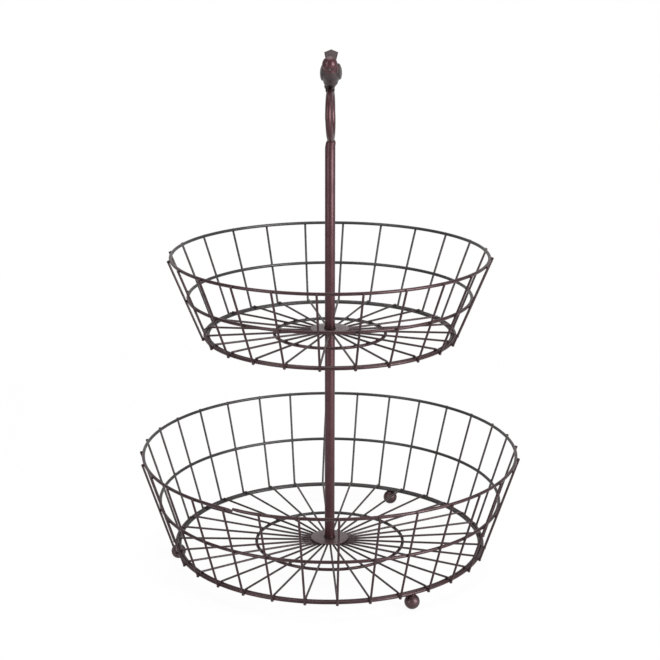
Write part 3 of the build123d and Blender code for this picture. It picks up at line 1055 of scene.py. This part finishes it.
def curved_rod(centres, reference, radii):
    """A thin rod through a row of places, with its rings square to its run and its radii in millimetres."""
    run = np.gradient(centres, axis=0)
    run /= np.linalg.norm(run, axis=1)[:, None]
    across = np.cross(run, reference)
    across /= np.linalg.norm(across, axis=1)[:, None]
    return tube_shape(centres, across, np.cross(run, across), radii * MM, ROD_SIDES)


def bird_feet(bird, rod):
    """Two feet on the loop, each a leg and four tapering toes.

    A toe runs over the rod's skin: centre + (radius + h cos w) * (sin a, cos a) + h sin w sideways, where a
    goes along the loop, w round the rod, and h is the rod's half thickness and a little more.
    """
    centre, forward, side_way, radius = loop_frame()
    h = rod / 2 + 0.25 * MM
    t = np.linspace(0, 1, 18)
    shapes = []
    for side in (-1, 1):
        leg = bird.place(2.2 - 1.2 * t, side * (3.4 - 1.7 * t), 5.0 - 5.2 * t)
        shapes.append(curved_rod(leg, forward, 1.7 - 0.5 * t))
        for a0, a1, w0, w1 in TOES:
            a, w = (a0 + (a1 - a0) * t)[:, None], (w0 + (w1 - w0) * t)[:, None]
            ring = np.sin(a) * forward + np.cos(a) * UP
            centres = centre + (radius + h * np.cos(w)) * ring + side * h * np.sin(w) * side_way
            knuckle = 0.10 * np.cos(t * 3 * TAU)
            shapes.append(curved_rod(centres, side_way + 0.3 * UP, 1.0 - 0.72 * t ** 2 + knuckle))
    return join_shapes(shapes)


def skinned(shape, voxel, smoothing):
    """One closed skin round overlapping shells: rebuilt from cubes of size voxel, then smoothed."""
    points, faces = shape
    mesh = bpy.data.meshes.new("bird_work")
    mesh.from_pydata(points.tolist(), [], faces)
    recalculate_outside(mesh)
    work = bpy.data.objects.new("bird_work", mesh)
    bpy.context.scene.collection.objects.link(work)
    remesh = work.modifiers.new("skin", "REMESH")
    remesh.mode = "VOXEL"
    remesh.voxel_size = voxel
    smooth = work.modifiers.new("smooth", "SMOOTH")
    smooth.factor = 0.5
    smooth.iterations = smoothing
    bpy.context.view_layer.update()
    ready = bpy.data.meshes.new_from_object(work.evaluated_get(bpy.context.evaluated_depsgraph_get()))
    result = mesh_points(ready), [list(p.vertices) for p in ready.polygons]
    bpy.data.objects.remove(work)
    bpy.data.meshes.remove(mesh)
    bpy.data.meshes.remove(ready)
    return result


def bird_tones_with_painted_light(bird, sizes):
    """The bird's colour: a red head, a body painted greyer and wings painted paler as painted reflection, and dark
    painted shade where each wing meets the breast.
    """
    level, grey, _ = bpy.context.scene.basket_colours.cast_tone

    def tone(finish, shade):
        def along(direction):
            """How far a place lies from the bird's base in one direction."""
            away = finish.vector("SUBTRACT", finish.place, tuple(bird.base))
            return finish.measure("DOT_PRODUCT", away, tuple(direction))

        from_head = finish.measure("DISTANCE", finish.place, tuple(bird.place(*HEAD_MIDDLE)))
        off_head = finish.mask(from_head, 0.56 * sizes.head, 0.7 * sizes.head)
        aside = abs(along(bird.left) - WING_SHIFT * MM)
        # Painted reflection: the wings' sides are coloured paler and greyer.
        wing = finish.mask(aside, *PAINTED_WING_SHEEN_EDGE)
        # Painted shade: a dark band where each wing meets the breast.
        breast = finish.mask(along(bird.forward), -3 * MM, 1 * MM) * finish.mask(along(UP), 3 * MM, 5 * MM)
        painted_crease_shade = finish.mask(aside, *PAINTED_SHADE_START) * (1 - finish.mask(aside, *PAINTED_SHADE_END)) * breast
        body = finish.blend(wing, shade(level, grey), shade(1.9 * level, (1 + grey) / 2))
        return finish.blend(off_head, shade(1.0, 0.0), finish.blend(painted_crease_shade * 0.75, body, shade(0.3, grey)))

    return tone


class BASKET_OT_bird(bpy.types.Operator):
    """Add the cast bird on the loop"""

    bl_idname = "basket.bird"
    bl_label = "Bird"

    def execute(self, context):
        sizes, rod = context.scene.basket_bird, context.scene.basket_metal.loop_rod
        centre, _, _, radius = loop_frame()
        bird = BirdFrame(sizes.turn, centre + np.array([0, 0, radius + rod / 2]))
        trunk = skinned(bird_trunk(bird, sizes), 2 * sizes.voxel, 8)
        wings = [bird_wing(bird, sizes, side) for side in (-1, 1)]
        details = [*wings, bird_tail(bird, sizes), bird_beak(bird), bird_feet(bird, rod)]
        casting = skinned(join_shapes([trunk, *details]), sizes.voxel, 2)
        finish = bronze_coat("cast", retouch=bird_tones_with_painted_light(bird, sizes))
        add_piece("cast_bird", casting, finish, POLE_BODY, ["bird_finial"], sharp=np.pi)
        return {"FINISHED"}


# Stage


def area_lamp(name, place, size, power):
    """A soft rectangular lamp that looks at the basket."""
    lamp = bpy.data.lights.new(name, "AREA")
    lamp.shape = "RECTANGLE"
    lamp.size, lamp.size_y = size
    lamp.energy = power
    item = bpy.data.objects.new(name, lamp)
    bpy.context.scene.collection.objects.link(item)
    item.location = place
    item.rotation_euler = (Vector(LAMP_TARGET) - Vector(place)).to_track_quat("-Z", "Y").to_euler()


class BASKET_OT_stage(bpy.types.Operator):
    """Set the camera, the lamps, the pale floor and the white room"""

    bl_idname = "basket.stage"
    bl_label = "Stage"

    def execute(self, context):
        stage = context.scene.basket_stage
        self.set_camera(context.scene, stage)
        self.set_room(context.scene, stage)
        self.add_floor(context.scene, stage)
        for name, (place, size, power) in LAMPS.items():
            area_lamp(name, place, size, power)
        context.scene.view_settings.view_transform = "Standard"
        return {"FINISHED"}

    def set_camera(self, scene, stage):
        """The camera's right, up and back directions from its heading, dip and roll, put in as a matrix."""
        heading, dip, roll = stage.camera_heading, stage.camera_dip, stage.camera_roll
        ahead = Vector((np.sin(heading) * np.cos(dip), np.cos(heading) * np.cos(dip), -np.sin(dip)))
        level = Vector((np.cos(heading), -np.sin(heading), 0))
        upright = level.cross(ahead)
        right = level * np.cos(roll) + upright * np.sin(roll)
        up = upright * np.cos(roll) - level * np.sin(roll)
        lens = bpy.data.cameras.new("photo_camera")
        lens.lens, lens.sensor_width = stage.camera_lens, stage.camera_sensor
        camera = bpy.data.objects.new("photo_camera", lens)
        scene.collection.objects.link(camera)
        turn = Matrix((right, up, -ahead)).transposed()
        camera.matrix_world = Matrix.Translation(stage.camera_place) @ turn.to_4x4()
        scene.camera = camera

    def set_room(self, scene, stage):
        """A white room for the eye and for reflections, darker on the camera's side, and a soft grey light."""
        scene.world = bpy.data.worlds.new("white_room")
        scene.world.use_nodes = True
        room = Nodes(scene.world.node_tree)
        room.tree.nodes.clear()
        rays = room.node("ShaderNodeLightPath")
        place = room.node("ShaderNodeTexCoord").outputs["Generated"]
        away = room.node("ShaderNodeSeparateXYZ", {}, {0: place}).outputs["Y"]
        mirrored = room.node("ShaderNodeMapRange", {"interpolation_type": "SMOOTHSTEP"}, {
            "Value": away, "From Min": -0.2, "From Max": 0.9,
            "To Min": stage.near_mirrored, "To Max": stage.far_mirrored}).outputs["Result"]

        def plain(colour, strength):
            """A background of one colour."""
            return room.node("ShaderNodeBackground", {}, {"Color": colour, "Strength": strength}).outputs[0]

        def either(ray, other, this):
            """This for one kind of ray and the other for the rest."""
            return room.node("ShaderNodeMixShader", {}, {0: rays.outputs[ray], 1: other, 2: this}).outputs[0]

        glossy = either("Is Glossy Ray", plain(WHITE, stage.room_light), plain(WARM_WHITE, mirrored))
        room.node("ShaderNodeOutputWorld", {}, {0: either("Is Camera Ray", glossy, plain(WHITE, 1.0))})

    def add_floor(self, scene, stage):
        """A wide round floor at table height; it looks white, and near the feet it keeps a share of its shade."""
        reach, rings, sides, pale = 1.3, 16, 96, 0.72
        r = reach * np.linspace(0, 1, rings + 1)[1:] ** 2
        points = around(r[:, None], once_round(sides), 0.0).reshape(-1, 3)
        mesh = bpy.data.meshes.new("floor")
        mesh.from_pydata(points.tolist(), [], grid_faces(rings, sides) + [np.arange(sides).tolist()])
        floor = bpy.data.objects.new("floor", mesh)
        scene.collection.objects.link(floor)
        finish = Finish("pale_floor")
        finish.set_shader(Base_Color=(pale, pale, pale), Roughness=0.9)
        glow = finish.node("ShaderNodeEmission", {}, {"Color": WHITE, "Strength": 1.0})
        rays = finish.node("ShaderNodeLightPath")
        plain = finish.mask(finish.measure("LENGTH", finish.place), stage.shadow_reach, 2.5 * stage.shadow_reach)
        direct = Maths(finish, rays.outputs["Is Camera Ray"]) * (stage.floor_glow + (1 - stage.floor_glow) * plain)
        # Painted glow: towards the right lamp the floor shows brighter to glossy rays, laying a highlight on the
        # metal.
        towards = finish.measure("DOT_PRODUCT", finish.vector("NORMALIZE", finish.place), PAINTED_STREAK_WAY)
        painted_streak = finish.mask(towards, 0.86, 0.98) * stage.floor_painted_streak
        seen = direct + (painted_streak + stage.floor_mirrored) * Maths(finish, rays.outputs["Is Glossy Ray"])
        both = finish.node("ShaderNodeMixShader", {}, {0: seen, 1: finish.shader.outputs[0], 2: glow.outputs[0]})
        finish.feed(finish.tree.nodes["Material Output"].inputs["Surface"], both.outputs[0])
        mesh.materials.append(finish.material)


# Add-on


PIECES = (
    BASKET_OT_hoops,
    BASKET_OT_side_wires,
    BASKET_OT_floor_spokes,
    BASKET_OT_welds,
    BASKET_OT_hub_plates,
    BASKET_OT_ball_feet,
    BASKET_OT_poles,
    BASKET_OT_fasteners,
    BASKET_OT_loop_handle,
    BASKET_OT_bird,
    BASKET_OT_stage,
)


class BASKET_PT_pieces(bpy.types.Panel):
    """Lists the pieces of the basket"""

    bl_idname = "BASKET_PT_pieces"
    bl_label = "Tiered wire basket"
    bl_space_type = "VIEW_3D"
    bl_region_type = "UI"
    bl_category = "Basket"

    def draw(self, context):
        for piece in PIECES:
            self.layout.operator(piece.bl_idname)
        for group, name in GROUPS:
            box = self.layout.box()
            box.label(text=group.__doc__)
            for key in group.__annotations__:
                box.prop(getattr(context.scene, name), key)


def register():
    """Registers the settings, the operators and the panel."""
    for group, name in GROUPS:
        bpy.utils.register_class(group)
        setattr(bpy.types.Scene, name, PointerProperty(type=group))
    for item in (*PIECES, BASKET_PT_pieces):
        bpy.utils.register_class(item)


def unregister():
    """Removes them again."""
    for item in reversed((*PIECES, BASKET_PT_pieces)):
        bpy.utils.unregister_class(item)
    for group, name in reversed(GROUPS):
        delattr(bpy.types.Scene, name)
        bpy.utils.unregister_class(group)


def main():
    """Registers the add-on, then builds every piece and the stage."""
    register()
    for piece in PIECES:
        getattr(bpy.ops.basket, piece.bl_idname.split(".")[1])()


if __name__ == "__main__":
    main()
